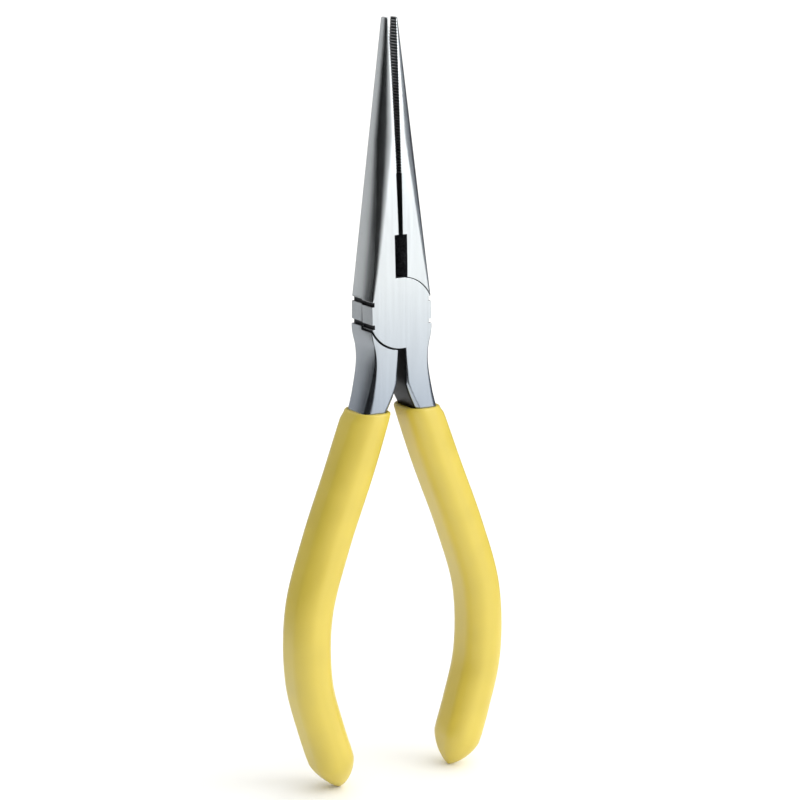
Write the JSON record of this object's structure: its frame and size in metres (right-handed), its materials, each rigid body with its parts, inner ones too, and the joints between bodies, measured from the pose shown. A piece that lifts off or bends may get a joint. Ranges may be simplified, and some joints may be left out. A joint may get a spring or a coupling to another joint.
{
  "type": "needle nose pliers",
  "caption": "Long nose pliers with a side cutter: forged steel levers joined by a lap joint and rivet, with curved handles in yellow dipped plastic grips.",
  "frame": {"origin": "on the joint's axis, at the flush end of the rivet in the flat back of the joint", "axes": "+Z along the tool towards the tips, +Y out of the back of the joint along its axis, +X to the right when the front is looked at"},
  "size_m": [0.0512, 0.0112, 0.1648],
  "materials": {
    "lever_steel": "satin ground",
    "rivet_steel": "ground flush",
    "grip_plastic": "soft gloss, dipped"
  },
  "bodies": {
    "front": {"front_lever": "lever_steel", "joint_rivet": "rivet_steel", "right_grip": "grip_plastic"},
    "rear": {"rear_lever": "lever_steel", "left_grip": "grip_plastic"}
  },
  "joints": [
    {"name": "lap_joint", "type": "hinge", "parent": "front", "child": "rear", "pos_m": [0, -0.0045, 0], "axis": [0, 1, 0], "range_deg": [-1.5, 38]}
  ]
}
